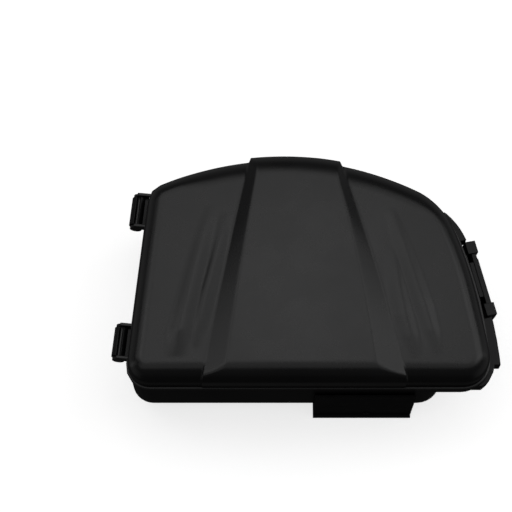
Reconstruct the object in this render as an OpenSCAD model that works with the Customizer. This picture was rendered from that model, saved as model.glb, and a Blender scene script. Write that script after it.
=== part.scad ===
// Air filter housing for a small engine: a bowl that bolts to the engine, a hinged cover,
// a swing latch, a pleated filter and the seals, sleeves and screws that go with them.
// The origin is on the axis of the intake port, in the plane that meets the engine.
// +Z points out through the cover, +Y to the arched edge and +X to the latch.

/* [Outline] */
// Intake axis to the straight lower edge of the cover
low_edge = 47; // [42:0.5:58]
// Intake axis to the left edge of the cover, at the height of the axis
left_edge = 76; // [66:0.5:92]
// Lean of the left edge, in degrees
left_lean = 5.7; // [3:0.1:8]
// Intake axis to the crown of the arched edge
crown = 60.4; // [52:0.2:73]
// Sideways offset of the crown from the intake axis
crown_x = -8.8; // [-14:0.2:-2]
// Radius of the arched edge
arch_r = 139; // [125:1:170]
// Intake axis to the farthest point of the right edge
right_edge = 83.2; // [76:0.1:100]
// Radius of the right edge
side_r = 200; // [170:1:260]
// Distance below the intake axis at which the right edge stands farthest out
side_low = 43; // [35:1:50]
// Radius of the lower left corner
corner_bl = 10; // [9:0.5:14]
// Radius of the lower right corner
corner_br = 12; // [9:0.5:16]
// Radius of the upper right corner
corner_tr = 33; // [26:1:40]
// Radius of the upper left corner
corner_tl = 8.5; // [7:0.5:12]

/* [Heights] */
// Engine plane to the outside of the bowl's floor
stand_off = 12; // [10:0.5:15]
// Outside of the bowl's floor to the parting plane
bowl_depth = 29; // [26:0.5:35]
// Parting plane to the cover's side panels
cover_height = 16; // [14:0.5:20]
// Rise of the cover's middle panel above its side panels
panel_rise = 3; // [1:0.25:4]

/* [Cover] */
// Thickness of the cover's wall
cover_wall = 2; // [1.6:0.1:2.6]
// Radius that rounds the cover's upper edge
cover_round = 8; // [6:0.5:8]
// Width of the bead round the cover's rim
bead_out = 1; // [0.6:0.1:2]
// Height of the bead round the cover's rim
bead_high = 2; // [1.5:0.1:3]
// How far the middle panel stands proud of the cover's walls
panel_proud = 0.8; // [0.3:0.1:1]
// Thickness of the ribs inside the cover
rib_wall = 1.6; // [1.2:0.1:2.4]

/* [Bowl] */
// Thickness of the bowl's wall
bowl_wall = 2.4; // [1.8:0.1:3.2]
// Intake axis to the end of the bowl, which stops short of the cover
bowl_right = 64.4; // [56:0.2:68]
// Radius of the bowl's right corners
bowl_corner = 11.4; // [9:0.2:14]
// Gap between the cover's wall and the lip that stands inside it
lip_gap = 0.4; // [0.3:0.05:0.8]
// Height of the lip above the parting plane
lip_high = 3; // [2:0.25:4]
// Depth of the shelf beside the bowl, below the parting plane
shelf_deep = 7; // [5:0.5:9]
// Height of the ledge that carries the filter
ledge_high = 6.6; // [5:0.2:9]

/* [Filter] */
// Gap between the filter and the bowl
filter_gap = 0.5; // [0.3:0.1:1.5]
// Width of the filter's rubber frame
frame_width = 5.7; // [4.5:0.1:8]
// Height of the filter
filter_high = 18; // [15:0.5:20]
// Distance between pleats
pleat_pitch = 4; // [3:0.25:6]
// Thickness of the filter paper
paper = 0.8; // [0.6:0.1:1.2]
// Thickness of the foam pre-cleaner
foam_high = 6; // [4:0.5:8]

/* [Engine side] */
// Radius of the intake port
port_r = 12.5; // [9:0.25:13]
// Wall of the intake port
port_wall = 5; // [4:0.25:6]
// Distance between the two engine screws
screw_spacing = 52; // [50:1:60]
// Radius of the screw holes in the steel sleeves
screw_hole_r = 3.3; // [2.6:0.1:3.6]
// Wall of the steel sleeves
sleeve_wall = 1.3; // [1:0.1:1.6]
// Radius of the breather tube
breather_r = 5.5; // [4:0.25:6]
// Thickness of the support bracket's steel
bracket_steel = 2; // [1.5:0.25:3]
// Width of the support bracket
bracket_width = 46; // [40:1:50]
// Radius of the hole in the support bracket
bracket_hole_r = 3.3; // [2.6:0.1:3.6]
// Width across the flats of the bracket's nut
nut_flats = 10; // [9:0.5:11]
// Height of the bracket's nut
nut_high = 4.5; // [3:0.25:5]
// Radius of the hole in the bracket's nut
nut_hole_r = 2.55; // [2:0.05:3]

/* [Hinge and latch] */
// Cover's left wall to the hinge axis
hinge_out = 5.2; // [5:0.1:7]
// Radius of the pins moulded on the cover for its hinges
hinge_pin_r = 1.5; // [1.2:0.1:1.8]
// Length of each hinge clip
clip_long = 13.6; // [11:0.2:17]
// Width of the mouth of each hinge clip
clip_mouth = 1.9; // [1.6:0.1:2.4]
// Radius of the latch pin
latch_pin_r = 1.5; // [1.2:0.1:1.8]
// Length of the latch
latch_long = 37; // [32:1:42]
// Height along the right edge of the latch's middle
latch_y = 5; // [0:0.5:8]
// Lean of the latch, in degrees
latch_lean = 13.5; // [11:0.5:15]
// How far the latch swings from locked to the position drawn, in degrees
latch_release = 8; // [7:0.5:10]

/* [Hidden] */
$fn = 64;

black = "#1d1d1e";
rubber = "#111111";
steel = "#8e9296";
tiny = 0.01;
run_gap = 0.06;
fit_gap = 0.3;

// Levels above the engine plane
part_z = stand_off + bowl_depth;
floor_z = stand_off + bowl_wall;
ledge_z = floor_z + ledge_high;
shelf_z = part_z - shelf_deep;
shelf_top_z = shelf_z + bowl_wall;
filter_top_z = ledge_z + filter_high;
foam_top_z = filter_top_z + foam_high;
side_top_z = part_z + cover_height;
panel_top_z = side_top_z + panel_rise;

// Insets from the cover's outline
lip_in = cover_wall + lip_gap;
bowl_in = lip_in + 1.4;
bowl_out = 0.3;
wall_in = bowl_in - bowl_wall;
filter_in = bowl_in + filter_gap;
paper_in = filter_in + frame_width;

// ---- Outline: straight left and lower edges, two long arcs and four round corners ----
arch_c = [crown_x, crown - arch_r];
side_c = [right_edge - side_r, -side_low];

// X of the left edge and of the right edge at height y
function left_x(y) = -left_edge + y * tan(left_lean);
function right_x(y, grow = 0) = side_c[0] + sqrt(pow(side_r + grow, 2) - pow(y - side_c[1], 2));
function bearing(from, to) = atan2(to[1] - from[1], to[0] - from[0]);

// Centre of a corner between a line through p along d and the arch, inside both by r
function on_arch(p, d, r) =
    let (v = p - arch_c, b = v * d)
    p + d * (sqrt(b * b - v * v + pow(arch_r - r, 2)) - b);

// Centre of the upper right corner, where the circles inside both long arcs cross
function cross_arcs(r) =
    let (
        v = side_c - arch_c,
        gap = norm(v),
        along = (pow(arch_r - r, 2) - pow(side_r - r, 2) + gap * gap) / (2 * gap),
        up = sqrt(pow(arch_r - r, 2) - along * along)
    )
    arch_c + along * v / gap + up * [v[1], -v[0]] / gap;

left_d = [sin(left_lean), cos(left_lean)];
function beside_left(y, r) = [left_x(y) + r / cos(left_lean), y];

// A corner keeps a small radius however far the outline has moved inwards
least_r = 0.5;
function corner(r, grow) = max(r, least_r - grow);
function bl_c(r) = beside_left(r - low_edge, r);
function tl_c(r) = on_arch(beside_left(0, r), left_d, r);
function br_c(r) = [right_x(r - low_edge, -r), r - low_edge];
function bowl_br_c(r) = [bowl_right - r, r - low_edge];
function bowl_tr_c(r) = on_arch([bowl_right - r, 0], [0, 1], r);

function arc(c, r, a, b, n) =
    [for (i = [0:n]) c + r * [cos(a + (b - a) * i / n), sin(a + (b - a) * i / n)]];

// The left-hand stretch that the cover and the bowl share, from the arch to the lower edge
function left_points(grow) =
    let (tl = corner(corner_tl, grow), bl = corner(corner_bl, grow))
    concat(
        arc(tl_c(tl), tl + grow, bearing(arch_c, tl_c(tl)), 180 - left_lean, 7),
        arc(bl_c(bl), bl + grow, 180 - left_lean, 270, 8));

// The arch from the bearing of corner centre c back to the upper left corner
function arch_points(c, grow) =
    let (tl = corner(corner_tl, grow))
    arc(arch_c, arch_r + grow, bearing(arch_c, c), bearing(arch_c, tl_c(tl)), 14);

// The cover's outline, moved outwards by grow
function cover_points(grow) =
    let (
        br = corner(corner_br, grow),
        br_at = br_c(br),
        tr_at = cross_arcs(corner_tr)
    )
    concat(
        left_points(grow),
        arc(br_at, br + grow, -90, bearing(side_c, br_at), 8),
        arc(side_c, side_r + grow, bearing(side_c, br_at), bearing(side_c, tr_at), 8),
        arc(tr_at, corner_tr + grow, bearing(side_c, tr_at), bearing(arch_c, tr_at), 8),
        arch_points(tr_at, grow));

// The bowl's outline, which ends at a straight right-hand wall
function bowl_points(grow) =
    let (
        r = corner(bowl_corner, grow),
        tr_at = bowl_tr_c(r)
    )
    concat(
        left_points(grow),
        arc(bowl_br_c(r), r + grow, -90, 0, 7),
        arc(tr_at, r + grow, 0, bearing(arch_c, tr_at), 6),
        arch_points(tr_at, grow));

module slab(points, low, high) {
    translate([0, 0, low]) linear_extrude(high - low) polygon(points);
}

// ---- Placing ----
// Along the left wall: X out from the wall is negative, Y runs up the wall
module on_left() {
    translate([-left_edge, 0, 0]) rotate([0, 0, -left_lean]) children();
}

// Along the latch: the origin is on the outside of the cover's bead, X points outwards
latch_x = right_x(latch_y, bead_out);
module on_latch() {
    translate([latch_x, latch_y, 0]) rotate([0, 0, latch_lean]) children();
}

// A rod along Y from a to b
module rod(r, a, b) {
    translate([0, a, 0]) rotate([-90, 0, 0]) cylinder(r = r, h = b - a);
}

module bar(x, y, z) {
    translate([x[0], y[0], z[0]]) cube([x[1] - x[0], y[1] - y[0], z[1] - z[0]]);
}

// ---- Cover ----
round_steps = 6;

// A solid lid with a rounded upper edge, from low to high
module lid(grow, low, high, r) {
    hull() {
        slab(cover_points(grow), low, high - r);
        for (i = [1:round_steps])
            let (a = 90 * i / round_steps)
                slab(cover_points(grow - r * (1 - cos(a))), high - r, high - r + r * sin(a));
    }
}

// Edges of the middle panel: half-widths of its foot and its top, at both ends
panel_x = -3.4;
foot_high = 22.6;
foot_low = 44.2;
top_high = 19.4;
top_low = 33.2;
panel_skew = 2.6;

// The wedge that the middle panel is cut to, its edges moved inwards by inset
module panel_wedge(low, mid, high, inset) {
    far = crown + 2 * panel_proud;
    near = -low_edge - 2 * panel_proud;
    hull() {
        slab([[panel_x - foot_high + inset, far], [panel_x + foot_high - inset, far],
            [panel_x + panel_skew + foot_low - inset, near],
            [panel_x + panel_skew - foot_low + inset, near]], low, mid);
        slab([[panel_x - top_high + inset, far], [panel_x + top_high - inset, far],
            [panel_x + panel_skew + top_low - inset, near],
            [panel_x + panel_skew - top_low + inset, near]], mid, high);
    }
}

hinge_z = part_z - 2;
ear_thick = 1.4;
ear_r = 2.8;
clip_high_y = 38.4;
clip_low_y = -25.8;

// A hinge pin between two ears, one at each end of its clip
module hinge_pin(y) {
    half = clip_long / 2 + fit_gap + ear_thick;
    arm_low = part_z + 0.2;
    arm_high = part_z + 2.4;
    translate([-hinge_out, y, hinge_z]) rod(hinge_pin_r, -half, half);
    for (low = [y - half, y + half - ear_thick]) {
        translate([-hinge_out, 0, hinge_z]) rod(ear_r, low, low + ear_thick);
        bar([-hinge_out, -bead_out + 0.2], [low, low + ear_thick], [hinge_z, arm_high]);
        bar([-bead_out, 5], [low, low + ear_thick], [arm_low, arm_high]);
    }
}

// A low ridge on a side panel: a long cone sunk almost wholly in it, widest at the lower edge
ridge_high = 0.7;
module ridge(from, to, from_r, to_r) {
    run = to - from;
    rise = ridge_high + from_r - to_r;
    translate([from[0], from[1], side_top_z - from_r])
        rotate([0, 0, bearing(from, to)])
            rotate([0, 90 - atan2(rise, norm(run)), 0])
                cylinder(r1 = from_r, r2 = to_r, h = norm(run));
}

// Ribs inside the cover that hold the filter down
module cover_ribs() {
    ceiling = side_top_z - cover_wall - tiny;
    for (y = [-26, 30])
        bar([-52, 44], [y - rib_wall / 2, y + rib_wall / 2], [foam_top_z + fit_gap, ceiling + 1]);
    for (x = [-52, 44])
        bar([x - rib_wall / 2, x + rib_wall / 2], [-32, 34], [foam_top_z + fit_gap, ceiling + 1]);
}

// A tongue under the bead, with the window that the latch enters
tongue_half = 12;
window_half = 9;
tongue_low_z = part_z - 6;
nose_z = part_z - 3;
nose_high = 2;

module latch_tongue() {
    on_latch() difference() {
        bar([-1, 0.2], [-tongue_half, tongue_half], [tongue_low_z, part_z + 1]);
        bar([-2, 1], [-window_half, window_half],
            [nose_z - nose_high / 2 - fit_gap, nose_z + nose_high / 2 + fit_gap]);
    }
}

module cover() color(black) {
    difference() {
        union() {
            lid(0, part_z, side_top_z, cover_round);
            slab(cover_points(bead_out), part_z, part_z + bead_high);
            intersection() {
                lid(panel_proud, part_z, panel_top_z, cover_round);
                panel_wedge(part_z, side_top_z, panel_top_z, 0);
            }
            ridge([-44, 36], [-59, -34], 2, 6);
            ridge([-37, 32], [-49.5, -30], 2, 5);
            ridge([41, 35], [59.5, -32], 2, 6);
            ridge([41.5, 14], [49.5, -35], 2, 5);
            on_left() {
                hinge_pin(clip_high_y);
                hinge_pin(clip_low_y);
            }
        }
        difference() {
            union() {
                lid(-cover_wall, part_z - 1, side_top_z - cover_wall, cover_round - cover_wall);
                intersection() {
                    lid(-cover_wall, part_z - 1, panel_top_z - cover_wall, cover_round - cover_wall);
                    panel_wedge(part_z - 1, side_top_z - cover_wall,
                        panel_top_z - cover_wall, cover_wall);
                }
            }
            cover_ribs();
        }
    }
    latch_tongue();
}

// ---- Base ----
clip_wall = 1.8;

// A clip that the hinge pin snaps into from above, on a strap from the base
module hinge_clip(y) {
    bore_r = hinge_pin_r + run_gap;
    a = y - clip_long / 2;
    b = y + clip_long / 2;
    difference() {
        union() {
            translate([-hinge_out, 0, hinge_z]) rod(bore_r + clip_wall, a, b);
            bar([-hinge_out, wall_in], [a, b], [hinge_z - bore_r - clip_wall, part_z - 0.3]);
        }
        translate([-hinge_out, 0, hinge_z]) rod(bore_r, a - 1, b + 1);
        bar([-hinge_out - clip_mouth / 2, -hinge_out + clip_mouth / 2], [a - 1, b + 1],
            [hinge_z, part_z + 5]);
    }
}

// A guard beside the latch: the outline shifted by by, between two heights along the edge
module guard(by, low_y, high_y) {
    intersection() {
        translate([by[0], by[1], 0]) slab(cover_points(bead_out), shelf_z, part_z - fit_gap);
        bar([bowl_right + 2, right_edge + 12], [low_y, high_y], [shelf_z, part_z]);
    }
}

guard_step_y = -36;
guard_gap = 1;
module guards() {
    difference() {
        union() {
            guard([4.6, -3], latch_y, crown - 10);
            guard([5.2, -6], guard_step_y, latch_y);
            guard([2.2, 0], 1 - low_edge, guard_step_y + 1);
        }
        on_latch() bar([-4, 20], [-latch_long / 2 - guard_gap, latch_long / 2 + guard_gap],
            [shelf_z - 1, part_z]);
    }
}

latch_pin_z = shelf_z - 7;
latch_pin_u = 1.2;
latch_cheek = 6;
lug_half = latch_long / 2 - latch_cheek - fit_gap;
lug_r = 3.4;

// The knuckle under the shelf that carries the latch pin
module latch_lug() {
    on_latch() difference() {
        union() {
            translate([latch_pin_u, 0, latch_pin_z]) rod(lug_r, -lug_half, lug_half);
            bar([latch_pin_u - lug_r, latch_pin_u], [-lug_half, lug_half],
                [latch_pin_z, shelf_z]);
            bar([latch_pin_u - 10, latch_pin_u - 1], [-1.5, 1.5],
                [latch_pin_z, shelf_z]);
            bar([latch_pin_u - 10, latch_pin_u], [-lug_half, lug_half], [shelf_z - 1.4, shelf_z + 0.4]);
        }
        translate([latch_pin_u, 0, latch_pin_z]) rod(latch_pin_r, -lug_half - 1, lug_half + 1);
    }
}

bowl_round = 2;

module bowl_block(grow, low, high, r) {
    hull() {
        slab(bowl_points(grow), low + r, high);
        for (i = [1:4])
            let (a = 90 * i / 4)
                slab(bowl_points(grow - r * (1 - cos(a))), low + r - r * sin(a), low + r);
    }
}

sleeve_r = screw_hole_r + sleeve_wall;
boss_wall = 2.2;
boss_top_z = floor_z + 1.6;
port_out_r = port_r + port_wall;
seal_in_r = port_r + 1.6;
seal_out_r = port_out_r - 1.5;
seal_deep = 1.8;
breather_at = [-44, 24];
grommet_wall = 2.6;

// Stiffening ribs on the engine side of the floor
module back_ribs() {
    low = stand_off - 3;
    intersection() {
        union() {
            for (x = [-56, 0, 40])
                bar([x - rib_wall / 2, x + rib_wall / 2], [-low_edge, crown], [low, stand_off + 1]);
            for (y = [-26, 0, 38])
                bar([-left_edge - 9, bowl_right], [y - rib_wall / 2, y + rib_wall / 2],
                    [low, stand_off + 1]);
        }
        slab(bowl_points(-bowl_out - bowl_round), low, stand_off + 1);
    }
}

window_x = [bowl_right + 0.8, bowl_right + 9.6];
window_y = [-36, -5];
bracket_x = [28 - bracket_width / 2, 28 + bracket_width / 2];
pad_out = 0.2;
bracket_y = -low_edge - pad_out;
bracket_screw_x = [bracket_x[0] + 8, bracket_x[1] - 8];
bracket_screw_z = ledge_z - 3.6;
bracket_screw_r = 1.6;
drain_r = 0.9;

module base_bowl() color(black) {
    difference() {
        union() {
            // Rim over the whole outline, then the deep bowl below part of it
            slab(cover_points(0), shelf_z, part_z);
            slab(cover_points(-lip_in), shelf_z, part_z + lip_high);
            bowl_block(-bowl_out, stand_off, shelf_z + 1, bowl_round);
            guards();
            back_ribs();
            latch_lug();
            on_left() {
                hinge_clip(clip_high_y);
                hinge_clip(clip_low_y);
            }
            cylinder(r = port_out_r, h = floor_z);
            for (side = [-1, 1])
                translate([side * screw_spacing / 2, 0, 0])
                    cylinder(r = sleeve_r + boss_wall, h = floor_z);
            translate([breather_at[0], breather_at[1], stand_off - 2])
                cylinder(r = breather_r + grommet_wall + 4, h = 4);
            // Pads that the support bracket stands on
            for (x = bracket_screw_x)
                translate([x, 0, bracket_screw_z]) rod(4.5, bracket_y, -low_edge + bowl_out + 1);
        }
        // Inside of the lip, of the shelf beside the bowl and of the bowl
        slab(cover_points(-bowl_in + 0.3), part_z - 1, part_z + lip_high + 1);
        intersection() {
            slab(cover_points(-bowl_in - 0.3), shelf_top_z, part_z);
            bar([bowl_right - wall_in, right_edge], [-low_edge, crown], [shelf_top_z, part_z]);
        }
        slab(bowl_points(-bowl_in), ledge_z, part_z);
        difference() {
            slab(bowl_points(-bowl_in - 4), floor_z, ledge_z + 1);
            cylinder(r = port_r + 2, h = boss_top_z);
            for (side = [-1, 1])
                translate([side * screw_spacing / 2, 0, 0])
                    cylinder(r = sleeve_r + boss_wall, h = boss_top_z);
        }
        // Air inlet, ports and screw holes
        bar(window_x, window_y, [shelf_z - 1, shelf_top_z + 1]);
        translate([0, 0, -1]) cylinder(r = port_r, h = boss_top_z + 2);
        translate([0, 0, -1]) difference() {
            cylinder(r = seal_out_r, h = seal_deep + 1);
            cylinder(r = seal_in_r, h = seal_deep + 1);
        }
        for (side = [-1, 1])
            translate([side * screw_spacing / 2, 0, -1]) cylinder(r = sleeve_r, h = boss_top_z + 2);
        translate([breather_at[0], breather_at[1], 0])
            cylinder(r = breather_r + grommet_wall, h = ledge_z);
        for (x = bracket_screw_x)
            translate([x, 0, bracket_screw_z]) rod(bracket_screw_r, bracket_y - 1, -low_edge + 12);
        translate([-9, -low_edge, part_z - 3]) rod(drain_r, -2, 6);
    }
}

module mount_sleeve(side) color(steel) {
    translate([side * screw_spacing / 2, 0, 0]) difference() {
        cylinder(r = sleeve_r, h = boss_top_z);
        translate([0, 0, -1]) cylinder(r = screw_hole_r, h = boss_top_z + 2);
    }
}

module intake_seal() color(rubber) {
    difference() {
        cylinder(r = seal_out_r, h = seal_deep);
        translate([0, 0, -1]) cylinder(r = seal_in_r, h = seal_deep + 2);
    }
}

// A rubber ring with a groove that grips the floor round the breather hole
module breather_grommet() color(rubber) {
    low = stand_off - 2;
    translate([breather_at[0], breather_at[1], 0]) difference() {
        union() {
            translate([0, 0, low - 2]) cylinder(r = breather_r + grommet_wall, h = floor_z - low + 3.6);
            translate([0, 0, low - 2]) cylinder(r = breather_r + grommet_wall + 2.4, h = 2);
            translate([0, 0, floor_z]) cylinder(r = breather_r + grommet_wall + 2.4, h = 1.6);
        }
        translate([0, 0, low - 3]) cylinder(r = breather_r, h = ledge_z);
    }
}

foot_deep = 16;
bracket_top_z = shelf_z - 4;
bracket_hole_at = [28, bracket_y + 8.5];

// An angle of sheet steel: a leg up the lower wall and a foot in the engine plane
module support_bracket() color("#16171a") {
    outer = bracket_y - bracket_steel;
    difference() {
        union() {
            bar(bracket_x, [outer, bracket_y], [bracket_steel, bracket_top_z]);
            bar(bracket_x, [bracket_y, outer + foot_deep], [0, bracket_steel]);
            intersection() {
                translate([bracket_x[0], bracket_y, bracket_steel]) rotate([0, 90, 0])
                    cylinder(r = bracket_steel, h = bracket_width);
                bar(bracket_x, [outer, bracket_y], [0, bracket_steel]);
            }
            // Rolled lower edge
            bar(bracket_x, [outer - 1.2, bracket_y], [0, 1.5]);
            // Locating pip
            translate([30, 0, 4.5]) rod(1.6, outer - 0.6, outer + 1);
        }
        for (x = bracket_screw_x)
            translate([x, 0, bracket_screw_z]) rod(bracket_screw_r, outer - 1, bracket_y + 1);
        translate([bracket_hole_at[0], bracket_hole_at[1], -1])
            cylinder(r = bracket_hole_r, h = bracket_steel + 2);
    }
}

// A six-sided nut welded to the bracket's foot
module bracket_nut() color(steel) {
    translate([bracket_hole_at[0], bracket_hole_at[1], bracket_steel]) difference() {
        cylinder(r = nut_flats / 2 / cos(30), h = nut_high, $fn = 6);
        translate([0, 0, -1]) cylinder(r = nut_hole_r, h = nut_high + 2);
    }
}

// Screws put in from inside the bowl, flush with the bracket's face
module bracket_screws() color(steel) {
    seat = -low_edge + bowl_in + 4;
    for (x = bracket_screw_x)
        translate([x, 0, bracket_screw_z]) difference() {
            union() {
                rod(bracket_screw_r, bracket_y - bracket_steel, seat + 0.5);
                rod(3, seat, seat + 2);
            }
            bar([-2.2, 2.2], [seat + 1.2, seat + 3], [-0.4, 0.4]);
        }
}

// A louvred insert that drops into the inlet window
module inlet_grille() color(black) {
    rim = 1;
    slats = 6;
    step = (window_y[1] - window_y[0] - 2 * fit_gap) / slats;
    x = [window_x[0] + 0.1, window_x[1] - 0.1];
    y = [window_y[0] + 0.1, window_y[1] - 0.1];
    difference() {
        union() {
            bar(x, y, [shelf_z, shelf_top_z + rim]);
            bar([x[0] - 0.5, x[1] + rim], [y[0] - rim, y[1] + rim], [shelf_top_z, shelf_top_z + rim]);
        }
        bar([x[0] + rim, x[1] - rim], [y[0] + rim, y[1] - rim], [shelf_z - 1, shelf_top_z + rim + 1]);
    }
    for (i = [1:slats - 1])
        bar([x[0] + rim / 2, x[1] - rim / 2],
            [y[0] + i * step - 0.4, y[0] + i * step + 0.6], [shelf_z, shelf_top_z]);
}

// ---- Filter ----
screen_thick = 0.8;

module filter_frame() color("#2b2c2e") {
    difference() {
        slab(bowl_points(-filter_in), ledge_z, filter_top_z);
        slab(bowl_points(-paper_in), ledge_z - 1, filter_top_z + 1);
    }
}

// Paper folded to and fro along X
module filter_paper() color("#d8c48e") {
    low = ledge_z + screen_thick;
    high = filter_top_z - 1;
    left = -left_edge - 12;
    folds = ceil((bowl_right - left) / pleat_pitch);
    edge = [for (i = [0:2 * folds])
        [left + i * pleat_pitch / 2, i % 2 == 0 ? low : high - paper * 2]];
    back = [for (i = [2 * folds:-1:0]) edge[i] + [0, paper * 2]];
    intersection() {
        translate([0, crown, 0]) rotate([90, 0, 0])
            linear_extrude(crown + low_edge) polygon(concat(edge, back));
        slab(bowl_points(-paper_in), low, high);
    }
}

module filter_screen() color(steel) {
    slab(bowl_points(-paper_in), ledge_z, ledge_z + screen_thick - tiny);
}

// The foam clears both the bowl and the lip above it
module foam_precleaner() color("#34363a") {
    intersection() {
        slab(bowl_points(-filter_in - 0.5), filter_top_z, foam_top_z);
        slab(cover_points(-bowl_in - 0.5), filter_top_z - 1, foam_top_z + 1);
    }
}

// ---- Latch, turned outwards from its locked position ----
latch_out = 4.4;
latch_inner = 1.2;
cheek_inner = -0.5;
latch_skin = 2.2;
latch_top_z = part_z - 0.5;
grip_z = latch_top_z - 3;

module latch_locked() {
    end = latch_long / 2;
    difference() {
        union() {
            // Plate, nose and finger grip between the cheeks
            bar([latch_inner, latch_inner + latch_skin], [-end, end], [latch_pin_z, latch_top_z - 1]);
            bar([-0.8, latch_inner + 1], [-window_half + fit_gap, window_half - fit_gap],
                [nose_z - nose_high / 2, nose_z + nose_high / 2]);
            bar([latch_inner, latch_out - 0.6],
                [-end + latch_cheek - 1, end - latch_cheek - 2.4], [grip_z - 2, grip_z]);
            bar([latch_out - 1.8, latch_out - 0.4],
                [-end + latch_cheek - 1, end - latch_cheek - 2.4], [grip_z - 4, grip_z + 1.2]);
            for (side = [-1, 1])
                translate([0, side * (end - latch_cheek / 2), 0]) {
                    translate([latch_pin_u, 0, latch_pin_z]) rod(lug_r, -latch_cheek / 2, latch_cheek / 2);
                    bar([cheek_inner, latch_out], [-latch_cheek / 2, latch_cheek / 2],
                        [latch_top_z - 6, latch_top_z]);
                    bar([latch_inner, latch_pin_u + lug_r], [-latch_cheek / 2, latch_cheek / 2],
                        [latch_pin_z, latch_top_z - 3]);
                }
        }
        translate([latch_pin_u, 0, latch_pin_z]) rod(latch_pin_r + run_gap, -end - 1, end + 1);
        // Room for the knuckle
        translate([latch_pin_u, 0, latch_pin_z])
            rod(lug_r + fit_gap, -lug_half - fit_gap, lug_half + fit_gap);
        bar([latch_inner - 1, latch_pin_u + 1], [-lug_half - fit_gap, lug_half + fit_gap],
            [latch_pin_z - lug_r, shelf_z + 0.9]);
    }
}

module latch() color(black) {
    on_latch() translate([latch_pin_u, 0, latch_pin_z]) rotate([0, latch_release, 0])
        translate([-latch_pin_u, 0, -latch_pin_z]) latch_locked();
}

module latch_pin() color(steel) {
    on_latch() translate([latch_pin_u, 0, latch_pin_z])
        rod(latch_pin_r, -latch_long / 2 + 0.6, latch_long / 2 - 0.6);
}

base_bowl();
mount_sleeve(-1);  // mount_sleeve_left
mount_sleeve(1);  // mount_sleeve_right
intake_seal();
breather_grommet();
support_bracket();
bracket_nut();
bracket_screws();
inlet_grille();
filter_frame();
filter_paper();
filter_screen();
foam_precleaner();
latch_pin();
cover();
latch();
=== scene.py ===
# %% [markdown]
# # Air filter housing
#
# A small engine breathes through this box: a bowl that bolts to the engine, a hinged cover, a swing
# latch, and a pleated filter with a foam pre-cleaner between them. The CAD model is the fixed frame.
# It gives every place and every size, and this lesson gives the pieces their finish.

# %% The frame
import math

import bmesh
import bpy
import numpy as np
from mathutils import Matrix, Vector


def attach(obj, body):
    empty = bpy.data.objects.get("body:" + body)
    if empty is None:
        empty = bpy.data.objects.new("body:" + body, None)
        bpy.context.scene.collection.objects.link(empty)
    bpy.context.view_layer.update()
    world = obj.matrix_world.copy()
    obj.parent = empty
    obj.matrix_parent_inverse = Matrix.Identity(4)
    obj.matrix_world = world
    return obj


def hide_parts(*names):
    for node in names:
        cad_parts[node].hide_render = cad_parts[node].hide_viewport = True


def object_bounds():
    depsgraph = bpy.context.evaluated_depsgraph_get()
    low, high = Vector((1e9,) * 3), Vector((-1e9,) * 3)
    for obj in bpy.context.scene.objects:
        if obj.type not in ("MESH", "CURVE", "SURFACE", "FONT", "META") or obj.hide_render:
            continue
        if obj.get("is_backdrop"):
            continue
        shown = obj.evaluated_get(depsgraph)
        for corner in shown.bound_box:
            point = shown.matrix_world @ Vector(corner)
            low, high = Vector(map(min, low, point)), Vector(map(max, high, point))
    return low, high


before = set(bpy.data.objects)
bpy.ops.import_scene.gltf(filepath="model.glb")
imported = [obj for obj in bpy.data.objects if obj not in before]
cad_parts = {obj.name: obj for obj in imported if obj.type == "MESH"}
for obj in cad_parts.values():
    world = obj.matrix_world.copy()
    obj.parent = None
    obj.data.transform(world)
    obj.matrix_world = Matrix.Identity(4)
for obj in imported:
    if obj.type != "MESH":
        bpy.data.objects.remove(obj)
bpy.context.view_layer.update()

MM = 0.001

# %% [markdown]
# ## Camera
#
# The housing lies on its back. The camera looks down on it from in front, 70 degrees above the table,
# with a long lens that keeps the edges nearly parallel. An exact position is simpler here than a
# tracking constraint, and it doesn't move when a piece changes.

# %% Camera
camera = bpy.data.objects.new("camera", bpy.data.cameras.new("camera"))
bpy.context.scene.collection.objects.link(camera)
camera.location = Vector((-21.9, -239.5, 743.9)) * MM
camera.rotation_euler = (math.radians(20), 0, 0)
camera.data.lens = 113.38
camera.data.clip_start, camera.data.clip_end = 0.05, 20
bpy.context.scene.camera = camera
print("camera stands", round(camera.location.length, 3), "m from the origin")

# %% [markdown]
# ## Mesh helpers
#
# Every new piece is a mesh in millimetres that is scaled to metres as it is made, so its object stays
# at the origin. A face is smooth unless its edge turns sharply, and the weighted normals keep large
# flat faces flat beside small rounded ones.

# %% Mesh helpers
def new_piece(name, points, faces):
    mesh = bpy.data.meshes.new(name)
    mesh.from_pydata((np.asarray(points, float) * MM).tolist(), [], faces)
    mesh.polygons.foreach_set("use_smooth", [True] * len(mesh.polygons))
    mesh.update()
    piece = bpy.data.objects.new(name, mesh)
    bpy.context.scene.collection.objects.link(piece)
    return piece


def soften(piece, edge=0.0, sharp=32, steps=2):
    """Rounds a piece's sharp edges by edge mm and keeps its flat faces flat."""
    bm = bmesh.new()
    bm.from_mesh(piece.data)
    bmesh.ops.remove_doubles(bm, verts=bm.verts, dist=2e-6)
    if edge:
        bmesh.ops.dissolve_limit(bm, angle_limit=math.radians(1), verts=bm.verts, edges=bm.edges)
    for e in bm.edges:
        e.smooth = len(e.link_faces) != 2 or e.calc_face_angle(0) < math.radians(sharp)
    for f in bm.faces:
        f.smooth = True
    bm.to_mesh(piece.data)
    bm.free()
    if edge:
        bevel = piece.modifiers.new("rounded edges", "BEVEL")
        bevel.width, bevel.segments = edge * MM, steps
        bevel.limit_method, bevel.angle_limit = "ANGLE", math.radians(sharp)
        bevel.use_clamp_overlap, bevel.harden_normals = True, False
    normals = piece.modifiers.new("flat faces", "WEIGHTED_NORMAL")
    normals.keep_sharp, normals.weight = True, 80
    return piece


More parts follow.
